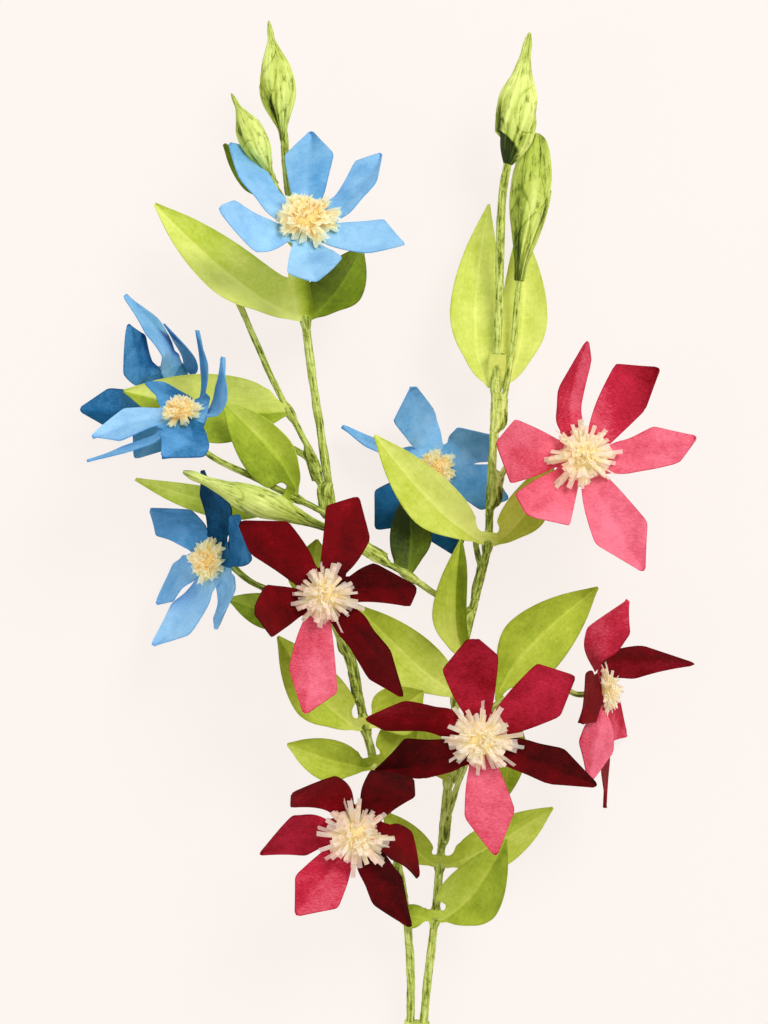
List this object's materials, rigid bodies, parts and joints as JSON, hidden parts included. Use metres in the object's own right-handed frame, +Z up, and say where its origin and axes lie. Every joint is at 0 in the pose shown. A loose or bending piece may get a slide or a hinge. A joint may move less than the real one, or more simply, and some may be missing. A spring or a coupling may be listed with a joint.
{
  "type": "paper flower spray",
  "caption": "Hand-held spray of folded paper flowers in blue and crimson, with fringed centres, wrapped buds and folded leaves on bound wire stems.",
  "frame": {"origin": "middle of the underside of the whole spray as it lies on its back, on the surface it lies on", "axes": "+Y along the stems from the cut ends to the top buds, +Z up, the way most flowers face"},
  "size_m": [0.2034, 0.391, 0.0836],
  "materials": {
    "blue_petal": "matt handmade paper",
    "crimson_petal": "matt handmade paper",
    "pink_petal": "matt handmade paper",
    "warm_fringe": "matt cut paper",
    "pale_fringe": "matt cut paper",
    "leaf": "matt handmade paper",
    "stem_wrap": "wound paper tape",
    "bud": "crumpled paper",
    "binding": "wound paper tape"
  },
  "bodies": {
    "root": {"left_main_stem": "stem_wrap", "right_main_stem": "stem_wrap", "fork_stem": "stem_wrap", "bud_2_stem": "stem_wrap", "bud_3_stem": "stem_wrap", "bud_5_stem": "stem_wrap", "blue_flower_1": "blue_petal", "blue_flower_1_fringe": "warm_fringe", "blue_flower_1_stem": "stem_wrap", "blue_flower_2": "blue_petal", "blue_flower_2_fringe": "warm_fringe", "blue_flower_2_stem": "stem_wrap", "blue_flower_3": "blue_petal", "blue_flower_3_fringe": "warm_fringe", "blue_flower_3_stem": "stem_wrap", "blue_flower_4": "blue_petal", "blue_flower_4_fringe": "warm_fringe", "blue_flower_4_stem": "stem_wrap", "blue_flower_5": "blue_petal", "blue_flower_5_fringe": "warm_fringe", "blue_flower_5_stem": "stem_wrap", "crimson_flower_1": "pink_petal", "crimson_flower_1_fringe": "pale_fringe", "crimson_flower_1_stem": "stem_wrap", "crimson_flower_2": "crimson_petal", "crimson_flower_2_fringe": "pale_fringe", "crimson_flower_2_stem": "stem_wrap", "crimson_flower_3": "crimson_petal", "crimson_flower_3_fringe": "pale_fringe", "crimson_flower_3_stem": "stem_wrap", "crimson_flower_4": "crimson_petal", "crimson_flower_4_fringe": "pale_fringe", "crimson_flower_4_stem": "stem_wrap", "crimson_flower_5": "pink_petal", "crimson_flower_5_fringe": "pale_fringe", "crimson_flower_5_stem": "stem_wrap", "bud_1": "bud", "bud_2": "bud", "bud_3": "bud", "bud_4": "bud", "bud_5": "bud", "leaf_pair_1": "leaf", "leaf_pair_2": "leaf", "leaf_pair_3": "leaf", "leaf_pair_4": "leaf", "leaf_pair_5": "leaf", "leaf_pair_6": "leaf", "leaf_pair_7": "leaf", "leaf_pair_8": "leaf", "leaf_pair_9": "leaf", "leaf_pair_10": "leaf", "leaf_1": "leaf", "leaf_2": "leaf", "leaf_3": "leaf", "leaf_4": "leaf", "leaf_5": "leaf", "leaf_6": "leaf", "binding_tape": "binding"}
  },
  "joints": []
}
